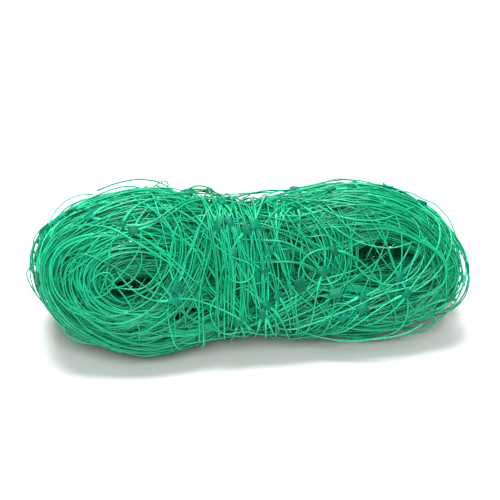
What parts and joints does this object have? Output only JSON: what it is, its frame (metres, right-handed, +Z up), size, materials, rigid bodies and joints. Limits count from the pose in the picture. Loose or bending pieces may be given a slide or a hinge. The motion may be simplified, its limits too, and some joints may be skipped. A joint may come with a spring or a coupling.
{
  "type": "folded trellis netting",
  "caption": "Plastic plant support net wound into a waisted hank with an eye at each end, lying on its edge, with the net's last turns wrapped round its middle.",
  "frame": {"origin": "middle of the underside of the hank's box, on the surface that it rests on", "axes": "+X along the hank, -Y to the front, where the eyes look, +Z up"},
  "size_m": [0.2624, 0.0998, 0.0974],
  "materials": {
    "net": "green extruded polypropylene with a soft gloss, darker at the welds"
  },
  "bodies": {
    "root": {"netting": "net"}
  },
  "joints": []
}
